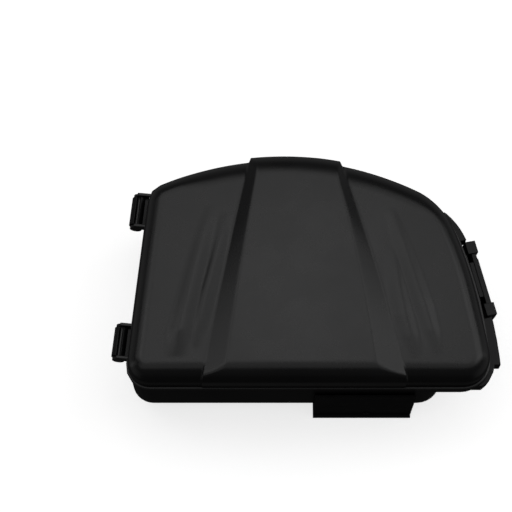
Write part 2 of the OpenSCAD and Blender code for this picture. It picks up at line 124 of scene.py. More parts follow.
def soft_copy(node, edge=0.0, sharp=32):
    """A copy of a CAD node with merged points and soft shading, which stands for it."""
    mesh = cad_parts[node].data.copy()
    for name in ("custom_normal", "sharp_edge", "sharp_face"):
        if name in mesh.attributes:
            mesh.attributes.remove(mesh.attributes[name])
    mesh.materials.clear()
    piece = bpy.data.objects.new(node + "_made", mesh)
    bpy.context.scene.collection.objects.link(piece)
    return soften(piece, edge, sharp)


def seat(piece, body, node, material):
    """Puts a finished piece on its body, in place of its CAD node."""
    piece.data.materials.clear()
    piece.data.materials.append(material)
    for p in piece.data.polygons:
        p.material_index = 0
    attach(piece, body)
    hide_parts(node)
    print(piece.name, len(piece.data.polygons), "faces on", body)
    return piece

# %% [markdown]
# ## The outline
#
# Cover and bowl share one outline: a straight lower edge, a straight left edge that leans, a long arch
# and a long right-hand curve, joined by four round corners. Moving it in or out by a distance keeps the
# corner centres, so a point and the direction straight out of the wall give every other ring.

# %% The outline
LEAN, LOW, LEFT = math.radians(5.7), 47.0, 76.0
ARCH_R, SIDE_R, BOWL_RIGHT = 139.0, 200.0, 64.4
ARCH = np.array([-8.8, 60.4 - ARCH_R])
SIDE = np.array([83.2 - SIDE_R, -43.0])
ALONG_LEFT = np.array([math.sin(LEAN), math.cos(LEAN)])


def bearing(a, b):
    return math.atan2(b[1] - a[1], b[0] - a[0])


def beside_left(y, r):
    return np.array([-LEFT + y * math.tan(LEAN) + r / math.cos(LEAN), y])


def under_arch(p, d, r):
    v = p - ARCH
    b = float(v @ d)
    return p + d * (math.sqrt(b * b - v @ v + (ARCH_R - r) ** 2) - b)


def arc(c, r, a, b, n=40):
    """Points and outward directions along an arc."""
    t = np.linspace(a, b, n)
    out = np.stack([np.cos(t), np.sin(t)], 1)
    return c + r * out, out


def long_corner(r):
    """Centre of the upper right corner, inside both long arcs."""
    v = SIDE - ARCH
    gap = float(np.linalg.norm(v))
    along = ((ARCH_R - r) ** 2 - (SIDE_R - r) ** 2 + gap * gap) / (2 * gap)
    up = math.sqrt((ARCH_R - r) ** 2 - along * along)
    return ARCH + along * v / gap + up * np.array([v[1], -v[0]]) / gap


def join(*parts):
    return np.concatenate([p for p, _ in parts]), np.concatenate([n for _, n in parts])


def four_sides(grow, bowl=False):
    """Top, right, bottom and left paths with their outward directions, from corner to corner."""
    tl, bl = max(8.5, 0.5 - grow), max(10, 0.5 - grow)
    a_tl = under_arch(beside_left(0, tl), ALONG_LEFT, tl)
    a_bl = beside_left(bl - LOW, bl)
    if bowl:
        br = tr = max(11.4, 0.5 - grow)
        a_br = np.array([BOWL_RIGHT - br, br - LOW])
        a_tr = under_arch(np.array([BOWL_RIGHT - tr, 0.0]), np.array([0.0, 1.0]), tr)
        side_top = side_low = 0.0
        side = (np.array([[BOWL_RIGHT + grow, a_tr[1]], [BOWL_RIGHT + grow, a_br[1]]]), np.array([[1.0, 0.0]] * 2))
    else:
        br, tr = max(12, 0.5 - grow), 33.0
        y = br - LOW
        a_br = np.array([SIDE[0] + math.sqrt((SIDE_R - br) ** 2 - (y - SIDE[1]) ** 2), y])
        a_tr = long_corner(tr)
        side_top, side_low = bearing(SIDE, a_tr), bearing(SIDE, a_br)
        side = arc(SIDE, SIDE_R + grow, side_top, side_low, 120)
    west, south = math.pi - LEAN, 1.5 * math.pi
    arch_tl, arch_tr = bearing(ARCH, a_tl), bearing(ARCH, a_tr)
    mid_tl, mid_bl = (arch_tl + west) / 2, (west + south) / 2
    mid_tr, mid_br = (arch_tr + side_top) / 2, (side_low - math.pi / 2) / 2
    flat = np.array([[0.0, -1.0]] * 2)
    top = join(arc(a_tl, tl + grow, mid_tl, arch_tl), arc(ARCH, ARCH_R + grow, arch_tl, arch_tr, 300),
               arc(a_tr, tr + grow, arch_tr, mid_tr, 90))
    right = join(arc(a_tr, tr + grow, mid_tr, side_top, 90), side, arc(a_br, br + grow, side_low, mid_br))
    bottom = join(arc(a_bl, bl + grow, mid_bl, south),
                  (np.array([[a_bl[0], -LOW - grow], [a_br[0], -LOW - grow]]), flat),
                  arc(a_br, br + grow, -math.pi / 2, mid_br))
    left = join(arc(a_tl, tl + grow, mid_tl, west), arc(a_bl, bl + grow, west, mid_bl))
    return top, right, bottom, left


def along(path, where):
    """Points and directions at lengths along a path."""
    p, n = path
    s = np.concatenate([[0], np.cumsum(np.linalg.norm(np.diff(p, axis=0), axis=1))])
    s, keep = np.unique(s, return_index=True)
    p, n = p[keep], n[keep]
    at = lambda v: np.stack([np.interp(where, s, v[:, 0]), np.interp(where, s, v[:, 1])], 1)
    out = at(n)
    return at(p), out / np.linalg.norm(out, axis=1)[:, None]


def length(path):
    return float(np.linalg.norm(np.diff(path[0], axis=0), axis=1).sum())


print("lower edge", round(length(four_sides(0)[2]), 1), "mm, arch", round(length(four_sides(0)[0]), 1), "mm")

# %% [markdown]
# ## A skin in rings
#
# A grid covers the flat top, and rings of points carry on from its edge, over the rounding and down the
# wall. Quads in rows and columns shade far more evenly than the long triangles of a CAD mesh. The grid
# is stretched between its four sides, and its columns can be bunched up where the surface bends.

# %% A skin in rings
def stretched(top, right, bottom, left, fade_left, fade_right):
    """A grid of points between four sides. The fades say how far each outer side pulls the columns."""
    rows = np.linspace(0, 1, len(left))[:, None, None]
    grid = top[None] * (1 - rows) + bottom[None] * rows
    for side, fade, end in ((left, fade_left, 0), (right, fade_right, -1)):
        grid = grid + fade[None, :, None] * (side - grid[:, end])[:, None]
    return grid


def rim_of(grid):
    """Index pairs round the edge of a grid, clockwise from its first corner."""
    rows, columns = grid.shape[:2]
    return ([(0, j) for j in range(columns)] + [(i, columns - 1) for i in range(1, rows)]
            + [(rows - 1, j) for j in range(columns - 2, -1, -1)] + [(i, 0) for i in range(rows - 2, 0, -1)])


def skin(name, upper, rings, lower):
    """A closed shell: the upper grid, rings of points outwards and down, and the lower grid."""
    rows, columns = upper.shape[:2]
    edge = rim_of(upper)
    number = np.arange(rows * columns).reshape(rows, columns)
    points = [upper.reshape(-1, 3)]
    faces = []

    def cover_grid(start, turned):
        a = number[:-1, :-1].ravel() + start
        b, c, d = number[1:, :-1].ravel() + start, number[1:, 1:].ravel() + start, number[:-1, 1:].ravel() + start
        order = (a, b, c, d) if turned else (a, d, c, b)
        faces.extend(np.stack(order, 1).tolist())

    cover_grid(0, True)
    loops = [np.array([number[i, j] for i, j in edge])]
    start = rows * columns
    for ring in rings:
        points.append(ring)
        loops.append(np.arange(start, start + len(ring)))
        start += len(ring)
    points.append(lower.reshape(-1, 3))
    cover_grid(start, False)
    loops.append(np.array([number[i, j] + start for i, j in edge]))
    for a, b in zip(loops, loops[1:]):
        a2, b2 = np.roll(a, -1), np.roll(b, -1)
        faces.extend(np.stack([a, a2, b2, b], 1).tolist())
    return new_piece(name, np.concatenate(points), faces)

# %% [markdown]
# ## Heights of the cover
#
# The middle panel stands 3 mm above the side panels, between two bevels that spread towards the lower
# edge. Each side panel has two tapered ridges: a defined outer flank, and an inner flank that fades out.
# Heights are a function of place, so the grid needs no sculpting and every edge radius is a number.

# %% Heights of the cover
SIDE_TOP, RISE, ROUND, PROUD, WALL = 57.0, 3.0, 8.0, 0.8, 2.0


def soft_step(u, e):
    """0 below -e, u above e, and a smooth bend between."""
    return np.where(u < -e, 0, np.where(u > e, u, (u + e) ** 2 / (4 * e)))


def bulge(y):
    return 4 * (52 - y) * (y + 41) / 93 ** 2


# Each bevel line by its upper end, its slope, and how far it bulges sideways half way down
BEVELS = ((-26, 52.8, 0.2017, -0.65), (-20.9, 56.5, 0.1467, -0.3),
          (14.6, 55.5, -0.1736, 1.5), (18.8, 51.8, -0.2675, 1.3))


def bevel_lines(y):
    """X of the left foot, left top, right top and right foot of the bevels."""
    return [x + (y - end) * slope + side * bulge(y) for x, end, slope, side in BEVELS]


def panel_share(x, y, e=0.7):
    """0 on the side panels, 1 on the middle panel."""
    a, b, c, d = bevel_lines(y)
    left = (soft_step(x - a, e) - soft_step(x - b, e)) / (b - a)
    right = (soft_step(d - x, e) - soft_step(c - x, e)) / (d - c)
    return np.minimum(left, right)


# Each ridge: the middle line of its outer flank, then the flank's width and height at those points
FLANKS = [
    ([(-44.3, 35.4), (-47.4, 24.1), (-51.7, 7.6), (-56, -10.5), (-59.3, -24.6), (-61, -37)],
     (2, 3, 4.2, 5, 5.4, 5.2), (0, .4, .8, 1.05, 1.1, 0)),
    ([(-37.4, 31.9), (-39.6, 20.6), (-43.1, 6.1), (-46.2, -5.8), (-49.1, -20), (-50.8, -33)],
     (1.8, 2.5, 3.1, 3.4, 3.2, 2.6), (0, .45, .85, .95, .7, 0)),
    ([(41.4, 33.9), (46, 20.6), (51.3, 3.7), (56.2, -12.9), (58.8, -24.6), (60.4, -36)],
     (1.6, 3, 4, 4.2, 3.6, 2.4), (0, .35, .6, .65, .5, 0)),
    ([(41.6, 15), (44.8, -3.4), (47.5, -17.6), (49.4, -27), (50.6, -38)],
     (1.6, 3.8, 4.8, 4.2, 2.6), (0, .5, .65, .5, 0)),
]


def ridges(x, y):
    total = np.zeros_like(x)
    for line, widths, heights in FLANKS:
        line = np.array(line)
        ys = line[::-1, 1]
        middle = np.interp(y, ys, line[::-1, 0])
        width = np.interp(y, ys, widths[::-1])
        high = np.interp(y, ys, heights[::-1])
        inward = (middle - x) if line[0, 0] > 0 else (x - middle)
        rise = np.clip(inward / width + 0.5, 0, 1)
        rise = 0.5 * rise + 0.5 * rise * rise * (3 - 2 * rise)
        fall = np.clip((inward - width / 2) / (2.5 + width * 1.2), 0, 1)
        fall = 1 - fall * fall * (3 - 2 * fall)
        total = np.maximum(total, high * np.where(inward > width / 2, fall, rise))
    return total


def cover_top(x, y, ridged=1.0):
    dome = 0.2 * ((x / 70) ** 2 + (y / 50) ** 2)
    return SIDE_TOP + RISE * panel_share(x, y) + ridged * ridges(x, y) - dome


print("middle panel", round(float(cover_top(np.array(0.0), np.array(0.0))), 2), "mm high")

# %% [markdown]
# ## Columns and the rounded edge
#
# A bevel only looks crisp where points stand close together, so the columns bunch up beside it. Seen
# from the side, the edge is a flat, a rounding and a wall. Short straight joints between them would
# catch the light as lines, so a moving average rounds the joints off.

# %% Columns and the rounded edge
def bunched(path, n_side, n_bevel, n_mid):
    """Lengths along a path that bunch up at the edges of the two bevels."""
    p, _ = path
    s = np.concatenate([[0], np.cumsum(np.linalg.norm(np.diff(p, axis=0), axis=1))])
    marks = [float(np.interp(0, p[:, 0] - line, s)) for line in bevel_lines(p[:, 1])]
    a, b, c, d = marks
    near = np.array([-1.4, -0.7, -0.3, -0.1, 0.1, 0.3, 0.7, 1.4])
    spread = lambda u, v, n: np.linspace(u, v, n + 2)[1:-1]
    return np.concatenate([
        np.linspace(0, a - 2, n_side), a + near, spread(a + 1.4, b - 1.4, n_bevel), b + near,
        spread(b + 1.4, c - 1.4, n_mid), c + near, spread(c + 1.4, d - 1.4, n_bevel), d + near,
        np.linspace(d + 2, s[-1], n_side)]), n_side, 4 * len(near) + 2 * n_bevel + n_mid


def evened(profile, reach=1.1):
    """Rounds the corners of a side-on profile without moving its ends."""
    profile = np.asarray(profile, float)
    s = np.concatenate([[0], np.cumsum(np.linalg.norm(np.diff(profile, axis=0), axis=1))])
    fine = np.linspace(0, s[-1], int(s[-1] / 0.1) + 2)
    p = np.stack([np.interp(fine, s, profile[:, k]) for k in (0, 1)], 1)
    n = int(reach / 0.1) | 1
    for _ in range(2):
        pad = np.concatenate([2 * p[0] - p[n:0:-1], p, 2 * p[-1] - p[-2:-n - 2:-1]])
        box = np.ones(n) / n
        p = np.stack([np.convolve(pad[:, k], box, "same") for k in (0, 1)], 1)[n:-n]
    return p


def sampled(p, n):
    s = np.concatenate([[0], np.cumsum(np.linalg.norm(np.diff(p, axis=0), axis=1))])
    at = np.linspace(0, s[-1], n)
    return np.stack([np.interp(at, s, p[:, k]) for k in (0, 1)], 1)


def edge_profile(cap, out, centre_z, r, low, n):
    """From the flat top out to the wall and down it: distance out of the ring, and height."""
    a = np.arcsin(np.clip((cap - centre_z) / r, 0, 1))
    t = np.linspace(a, 0, 30)
    flat = [(-ROUND, cap)] if cap < centre_z + r - 1e-6 or out > 0 else []
    bend = [(out - r + r * math.cos(x), centre_z + r * math.sin(x)) for x in t]
    # A proud edge draws back towards the bead, so that the bead's ledge shows all the way along
    return sampled(evened(flat + bend + [((1 - DRAW_BACK) * out if out > 0 else out, low)]), n)


DRAW_BACK = 0.6
print("edge profile:", edge_profile(SIDE_TOP, 0, SIDE_TOP - ROUND, ROUND, 43.4, 5).round(1).tolist())

# %% [markdown]
# ## The flat top and where its edge lies
#
# The flat top ends where the rounding begins, 8 mm inside the wall. Along the arch the rounding is 3 mm
# wider, and the right-hand wall leans in by 1.5 mm, so there the flat ends sooner. Both fade out before
# the round corners. A sudden change there would fold the grid over itself and show as a dark crack.

# %% The flat top and where its edge lies
SIDE_COLUMNS, BEVEL_COLUMNS, MIDDLE_COLUMNS = 60, 5, 44
sides = four_sides(-ROUND)
low_at, n_side, n_middle = bunched(sides[2], SIDE_COLUMNS, BEVEL_COLUMNS, MIDDLE_COLUMNS)
top_at = bunched(sides[0], SIDE_COLUMNS, BEVEL_COLUMNS, MIDDLE_COLUMNS)[0]
rows = 96
top, top_out = along(sides[0], top_at)
bottom, bottom_out = along(sides[2], low_at)
right, right_out = along(sides[1], np.linspace(0, length(sides[1]), rows))
left, left_out = along(sides[3], np.linspace(0, length(sides[3]), rows))
t = np.clip(np.arange(len(top)) / (n_side - 1), 0, 1)
fade = 1 - t


DRAFT, BROAD = 1.5, 3.0


def eased(t):
    """A smooth step from 0 to 1."""
    t = np.clip(t, 0, 1)
    return t * t * (3 - 2 * t)


def draft(points, out):
    """How far the wall leans in above the bead: most at the right, nothing at the left and low corner."""
    return DRAFT * np.clip((out[:, 0] - 0.15) / 0.6, 0, 1) * eased((points[:, 1] + 40) / 30)


def broad(points, out):
    """How much wider than 8 mm the rounding is: 3 mm along the arch, nothing elsewhere."""
    return BROAD * eased(np.clip((out[:, 1] - 0.6) / 0.35, 0, 1) * np.clip((points[:, 0] + 60) / 20, 0, 1))


sides_out = ((top, top_out), (bottom, bottom_out), (left, left_out), (right, right_out))
wider = [broad(points, out) for points, out in sides_out]
leans = [draft(points, out) for points, out in sides_out]
for (points, out), extra, shift in zip(sides_out, wider, leans):
    points -= (shift + extra)[:, None] * out
grid = stretched(top, right, bottom, left, fade, fade[::-1])
v = np.linspace(0, 1, rows)[:, None]
j = np.arange(len(top))
lean = np.interp(j, [0, n_side, n_side + n_middle, len(j) - 1], [0, -0.65, 1.4, 0])[None]
grid[:, :, 0] += 4 * v * (1 - v) * lean

# Over the edge the columns keep to the lines of the bevels, and turn square to the wall further off
# Eight columns stand beside each bevel line, so the line itself runs by the fourth
foot_line, top_line = 4, 12 + BEVEL_COLUMNS
last = n_side + n_middle - 1
slopes = np.interp(j, [n_side + foot_line, n_side + top_line, last - top_line, last - foot_line],
                   [slope for _, _, slope, _ in BEVELS])
keep = np.interp(j, [n_side - 36, n_side, n_side + n_middle, n_side + n_middle + 36], [0, 1, 1, 0])[:, None]
line = np.stack([slopes, np.ones(len(j))], 1)
for out in (top_out, bottom_out):
    along_line = line / (line * out).sum(1)[:, None]
    out += keep * (along_line - out)

print("top grid", grid.shape[0], "x", grid.shape[1], "points")

# %% [markdown]
# ## Cover shell
#
# The cover is a moulding with a 2 mm wall, an 8 mm rounding round its upper edge and a bead round its rim.
# Outside and inside are one closed skin. Over the middle panel the rounding starts higher and stands
# 0.8 mm proud, which leaves the small step where each bevel runs over the edge.

# %% Cover shell
BEAD_TOP, RIM = 43.0, 41.0
edge = rim_of(grid)
out_grid = np.zeros_like(grid)
wide_grid, lean_grid = np.zeros(grid.shape[:2]), np.zeros(grid.shape[:2])
for made, values in ((wide_grid, wider), (lean_grid, leans)):
    made[0], made[-1], made[:, 0], made[:, -1] = values
out_grid[0], out_grid[-1] = top_out, bottom_out
out_grid[1:-1, 0], out_grid[1:-1, -1] = left_out[1:-1], right_out[1:-1]
foot, outward, leaning, widened = (np.array([v[i, j] for i, j in edge])
                                   for v in (grid, out_grid, lean_grid, wide_grid))
x, y = foot.T
a, b, c, d = bevel_lines(y)
inside = np.minimum(x - a, d - x)
proud = eased(inside / 0.7 + 0.5)
caps = RISE * panel_share(x, y)
drop = cover_top(x, y) - SIDE_TOP - caps
STEPS = 22


def edge_rings(r, step, low, n):
    """Offsets and heights of n rings, for every point round the edge. r is the rounding's radius."""
    centre, known, made = SIDE_TOP - ROUND, {}, []
    for share, cap in zip(proud, caps):
        key = (round(float(share), 2), round(float(cap), 2))
        if key not in known:
            plain = edge_profile(centre + r, r - ROUND, centre, r, low, n)
            high = edge_profile(centre + r + key[1], r - ROUND + step, centre + RISE, r, low, n)
            known[key] = plain * (1 - key[0]) + high * key[0]
        made.append(known[key])
    return np.array(made)


outer = edge_rings(ROUND, PROUD, 43.4, STEPS)
inner = edge_rings(ROUND - WALL, 0, 41.2, STEPS)
fall = np.linspace(1, 0, STEPS)
for profile in (outer, inner):
    profile[:, :, 1] += drop[:, None] * fall


def ring(offset, z):
    """A ring of points at an offset from the wall, with the lean above the bead and the wider rounding."""
    upright = leaning * np.clip((z - BEAD_TOP - 0.1) / 6, 0, 1)
    spread = widened * np.clip(-offset / ROUND, 0, 1)
    flat = foot + (offset + ROUND + leaning - upright + widened - spread)[:, None] * outward
    return np.column_stack([flat, z])


ones = np.ones(len(foot))
rings = [ring(outer[:, k, 0], outer[:, k, 1]) for k in range(1, STEPS)]
wall = (1 - DRAW_BACK) * PROUD * proud
for offset, z in ((wall + 0.02, BEAD_TOP + 0.14), (np.maximum(wall + 0.05, 0.08), BEAD_TOP + 0.02),
                  (np.maximum(wall + 0.08, 0.16), BEAD_TOP), (0.86, BEAD_TOP), (0.96, BEAD_TOP - 0.07),
                  (1.0, BEAD_TOP - 0.25), (1.0, RIM + 0.45), (0.93, RIM + 0.2), (0.7, RIM + 0.03), (-0.6, RIM),
                  (-1.8, RIM + 0.02)):
    rings.append(ring(offset * ones, z * ones))
rings += [ring(inner[:, k, 0], inner[:, k, 1]) for k in range(STEPS - 1, 0, -1)]
upper = np.dstack([grid, cover_top(grid[:, :, 0], grid[:, :, 1])])
lower = np.dstack([grid, cover_top(grid[:, :, 0], grid[:, :, 1], 0) - WALL])
cover_shell = skin("cover_shell", upper, rings, lower)
across, down = np.diff(grid, axis=1)[:-1], np.diff(grid, axis=0)[:, :-1]
folded = int((across[..., 0] * down[..., 1] > across[..., 1] * down[..., 0]).sum())
print("cover shell", len(cover_shell.data.polygons), "faces,", folded, "of the top folded over")

# %% [markdown]
# ## Ribs, hinge pins and tongue of the cover
#
# Inside, four ribs hold the filter down. Outside the left wall, each hinge has a pin between two ears, and
# a tongue with a window hangs under the rim for the latch. They are flat shapes with some thickness, so
# each is an outline pushed along a direction, with its edges rounded by a Bevel modifier.

# %% Ribs, hinge pins and tongue
def pushed(name, outline, low, high, place):
    """A flat outline, given thickness from low to high along local Z, then placed."""
    bm = bmesh.new()
    floor = [bm.verts.new((x * MM, y * MM, low * MM)) for x, y in outline]
    bm.faces.new(floor[::-1])
    rim = bmesh.ops.extrude_face_region(bm, geom=bm.faces[:])["geom"]
    bmesh.ops.translate(bm, verts=[g for g in rim if isinstance(g, bmesh.types.BMVert)], vec=(0, 0, (high - low) * MM))
    bmesh.ops.recalc_face_normals(bm, faces=bm.faces)
    bm.transform(place)
    mesh = bpy.data.meshes.new(name)
    bm.to_mesh(mesh)
    bm.free()
    piece = bpy.data.objects.new(name, mesh)
    bpy.context.scene.collection.objects.link(piece)
    return piece


def joined(name, pieces):
    """One piece from several, with the first one's modifiers left off."""
    bm = bmesh.new()
    for p in pieces:
        bm.from_mesh(p.data)
        bpy.data.objects.remove(p)
    mesh = bpy.data.meshes.new(name)
    bm.to_mesh(mesh)
    bm.free()
    piece = bpy.data.objects.new(name, mesh)
    bpy.context.scene.collection.objects.link(piece)
    return piece


def oblong(x, y):
    return [(x[0], y[0]), (x[1], y[0]), (x[1], y[1]), (x[0], y[1])]


def round_points(x, y, r, a, b, n=14):
    t = np.radians(np.linspace(a, b, n))
    return [(x + r * math.cos(k), y + r * math.sin(k)) for k in t]


HERE = Matrix.Identity(4)
# Local X and Y of an upright shape become X and Z, and its thickness runs along -Y
UPRIGHT = Matrix(((1, 0, 0, 0), (0, 0, -1, 0), (0, 1, 0, 0), (0, 0, 0, 1)))
ON_LEFT = Matrix.Translation((-LEFT * MM, 0, 0)) @ Matrix.Rotation(-LEAN, 4, "Z")
LATCH_X = SIDE[0] + math.sqrt((SIDE_R + 1) ** 2 - (5 - SIDE[1]) ** 2)
ON_LATCH = Matrix.Translation((LATCH_X * MM, 5 * MM, 0)) @ Matrix.Rotation(math.radians(13.5), 4, "Z")

RIB_X, RIB_Y, RIB_REACH, RIB_HALF, RIB_Z = (-52, 44), (-26, 30), (-32, 34), 0.8, (45.3, 55.6)
ribs = [pushed("rib", oblong(RIB_X, (w - RIB_HALF, w + RIB_HALF)), *RIB_Z, HERE) for w in RIB_Y]
ribs += [pushed("rib", oblong((w - RIB_HALF, w + RIB_HALF), RIB_REACH), *RIB_Z, HERE) for w in RIB_X]
cover_ribs = soften(joined("cover_ribs", ribs), 0.3)

PIN_U, PIN_Z, PIN_R, CLIP_LONG = -5.2, 39, 1.5, 13.6
ear = (round_points(PIN_U, PIN_Z, 2.8, 110, 360, 30)
       + [(-0.8, PIN_Z), (-0.8, 41.25), (1.2, 41.25), (1.2, 43.2), (-4.6, 43.2)]
       + round_points(-5.4, 42.4, 0.8, 90, 150, 5))
hinge = []
for middle in (38.4, -25.8):
    half = CLIP_LONG / 2 + 0.3 + 1.4
    for low in (middle - half, middle + half - 1.4):
        hinge.append(pushed("ear", ear, -low - 1.4, -low, ON_LEFT @ UPRIGHT))
    pin = round_points(PIN_U, PIN_Z, PIN_R, 0, 345, 24)
    hinge.append(pushed("pin", pin, -middle - half + 0.5, -middle + half - 0.5, ON_LEFT @ UPRIGHT))
hinge_pins = soften(joined("hinge_pins", hinge), 0.2)

bar = lambda u, w, z: pushed("bar", oblong(u, w), z[0], z[1], ON_LATCH)
latch_tongue = soften(joined("latch_tongue", [
    bar((-1, 0.2), (-12, -9), (35, 41.6)), bar((-1, 0.2), (9, 12), (35, 41.6)),
    bar((-1, 0.2), (-9.4, 9.4), (35, 36.7)), bar((-1, 0.2), (-9.4, 9.4), (39.3, 41.6))]), 0.15)
print("cover ribs", len(ribs), "hinge parts", len(hinge))

# %% [markdown]
# ## Bowl, latch and hard parts
#
# These CAD shapes are right as they are. Each gets a copy with merged points, smooth roundings and, on
# the smaller ones, a real rounded edge. The bowl is too intricate for a Bevel modifier, so its edges are
# rounded by the Bevel node in its material.

# %% Bowl, latch and hard parts
bowl_made = soft_copy("base_bowl")
latch_made = soft_copy("latch", 0.35)
bracket_made = soft_copy("support_bracket", 0.3)
nut_made = soft_copy("bracket_nut", 0.25)
screws_made = soft_copy("bracket_screws", 0.15)
pin_made = soft_copy("latch_pin", 0.2)
sleeves_made = [soft_copy("mount_sleeve_left", 0.2), soft_copy("mount_sleeve_right", 0.2)]
grille_made = soft_copy("inlet_grille")
seal_made = soft_copy("intake_seal", 0.4)
grommet_made = soft_copy("breather_grommet", 0.4)
filter_rim_made = soft_copy("filter_frame", 0.8)
print("copies of CAD nodes:", 12)

# %% [markdown]
# ## Foam pre-cleaner
#
# A slab of open-cell foam is cut with a knife and lies on the filter. Its cut edges stand a little rough,
# its corners are soft and the ribs of the cover press faint lines into it. The grid skin makes it, with
# a small fixed wobble for the cells, and the pores themselves come from the material.

# %% Foam pre-cleaner
def slab_grid(grow, columns, rows):
    s = four_sides(grow, bowl=True)
    ends = [along(s[k], np.linspace(0, length(s[k]), n)) for k, n in ((0, columns), (1, rows), (2, columns), (3, rows))]
    pull = 1 - np.linspace(0, 1, columns)
    made = stretched(ends[0][0], ends[1][0], ends[2][0], ends[3][0], pull, pull[::-1])
    outs = np.zeros_like(made)
    outs[0], outs[-1], outs[1:-1, 0], outs[1:-1, -1] = ends[0][1], ends[2][1], ends[3][1][1:-1], ends[1][1][1:-1]
    at = rim_of(made)
    return made, np.array([made[i, k] for i, k in at]), np.array([outs[i, k] for i, k in at])


wobble = np.random.default_rng(7)
foam_grid, foam_foot, foam_out = slab_grid(-4.9 - 1.3, 150, 100)
gx, gy = foam_grid[:, :, 0], foam_grid[:, :, 1]
cells = lambda shape: wobble.uniform(-0.11, 0.11, shape)
PRESS_WIDE, PRESS_DEEP, FOAM_TOP, FOAM_LOW = 1.6, 0.35, 44.85, 39.05
pressed = sum(np.exp(-((gy - w) / PRESS_WIDE) ** 2) * (gx > RIB_X[0]) * (gx < RIB_X[1]) for w in RIB_Y)
pressed = pressed + sum(np.exp(-((gx - w) / PRESS_WIDE) ** 2) * (gy > RIB_REACH[0]) * (gy < RIB_REACH[1])
                        for w in RIB_X)
foam_upper = np.dstack([foam_grid, FOAM_TOP - PRESS_DEEP * np.clip(pressed, 0, 1) + cells(gx.shape)])
foam_lower = np.dstack([foam_grid, FOAM_LOW + 0 * gx])
foam_rings = []
for offset, z in ((0.5, 44.8), (0.95, 44.55), (1.22, 44.1), (1.3, 43.3), (1.26, 42.2), (1.24, 41.2), (1.27, 40.2),
                  (1.22, 39.6), (0.8, 39.15)):
    out = offset + (cells(len(foam_foot)) if offset > 1 else 0) * 0.5 - 0.05
    foam_rings.append(np.column_stack([foam_foot + (out * np.ones(len(foam_foot)))[:, None] * foam_out,
                                       z + 0 * foam_foot[:, 0]]))
foam = skin("foam_pad", foam_upper, foam_rings, foam_lower)
print("foam", len(foam.data.polygons), "faces")

# %% [markdown]
# ## Pleated paper and wire screen
#
# The paper is folded to and fro, and one fold repeats from end to end. The screen under it is a weave of
# wires. Both repeat, so Geometry Nodes make them: Python only marks where each fold or wire starts and
# ends inside the frame, and the tree puts a shape there. Folds and wires reach a little into the frame.

# %% Where the folds and wires end
def crossings(inset, where, axis):
    """First and last crossing of the bowl's outline with a line across it at each place."""
    s = four_sides(-inset, bowl=True)
    loop = np.concatenate([s[0][0], s[1][0], s[2][0][::-1], s[3][0][::-1]])
    found = []
    for w in where:
        a, b = loop[:, axis] - w, np.roll(loop[:, axis], -1) - w
        k = np.nonzero((a * b < 0))[0]
        t = a[k] / (a[k] - b[k])
        other = loop[k, 1 - axis] * (1 - t) + np.roll(loop[:, 1 - axis], -1)[k] * t
        found.append((other.min(), other.max()))
    return np.array(found)


PITCH, PAPER_IN = 4.0, 9.4
fold_x = np.arange(-68, 53, PITCH)
fold_y = crossings(PAPER_IN, fold_x, 0)
print(len(fold_x), "folds, the longest", round(float((fold_y[:, 1] - fold_y[:, 0]).max()), 1), "mm")

# %% [markdown]
# ## Helpers for node trees
#
# Materials and Geometry Nodes are both trees of nodes, and building one in Python repeats the same three
# steps: add a node, set it, link it. One small function does that for any kind of node. Colours are
# picked in sRGB, as a colour picker shows them, but a shader works in linear light, so they are turned.

# %% Helpers for node trees
def add(tree, kind, inputs=None, **settings):
    """Adds a node. Each input is a value, or another node's output to link."""
    made = tree.nodes.new(kind)
    for key, value in settings.items():
        setattr(made, key, value)
    for key, value in (inputs or {}).items():
        if isinstance(value, bpy.types.NodeSocket):
            tree.links.new(value, made.inputs[key])
        else:
            made.inputs[key].default_value = value
    return made


def node_group(name, sizes):
    """An empty Geometry Nodes tree with a named input for each size and one for the material."""
    tree = bpy.data.node_groups.new(name, "GeometryNodeTree")
    tree.interface.new_socket("Geometry", in_out="INPUT", socket_type="NodeSocketGeometry")
    tree.interface.new_socket("Geometry", in_out="OUTPUT", socket_type="NodeSocketGeometry")
    for size in sizes:
        tree.interface.new_socket(size, in_out="INPUT", socket_type="NodeSocketFloat")
    tree.interface.new_socket("Material", in_out="INPUT", socket_type="NodeSocketMaterial")
    return tree, add(tree, "NodeGroupInput"), add(tree, "NodeGroupOutput")


def grown(name, seed_piece, tree, values):
    """Runs a tree on a piece of marks, and returns the result as a plain mesh."""
    modifier = seed_piece.modifiers.new(name, "NODES")
    modifier.node_group = tree
    for item in tree.interface.items_tree:
        if item.in_out == "INPUT" and item.name in values:
            modifier[item.identifier] = values[item.name]
    bpy.context.view_layer.update()
    graph = bpy.context.evaluated_depsgraph_get()
    mesh = bpy.data.meshes.new_from_object(seed_piece.evaluated_get(graph))
    piece = bpy.data.objects.new(name, mesh)
    bpy.context.scene.collection.objects.link(piece)
    bpy.data.objects.remove(seed_piece)
    for p in mesh.polygons:
        p.use_smooth = True
    return piece


def linear(code):
    """An sRGB hex colour as linear red, green, blue and alpha."""
    c = np.array([int(code[k:k + 2], 16) for k in (1, 3, 5)]) / 255
    c = np.where(c <= 0.04045, c / 12.92, ((c + 0.055) / 1.055) ** 2.4)
    return (*c.tolist(), 1.0)


print("mould black in linear light:", [round(v, 4) for v in linear("#0b0b0c")[:3]])

# %% [markdown]
# ## Finishes
#
# Real materials are never one even colour. Each finish below starts from what the part is made of and
# how its surface came about: a fine mould grain, zinc crystals, rubber bloom, paper fibres, foam cells.
# All patterns read Object coordinates in metres, so a size in millimetres gives the scale directly.

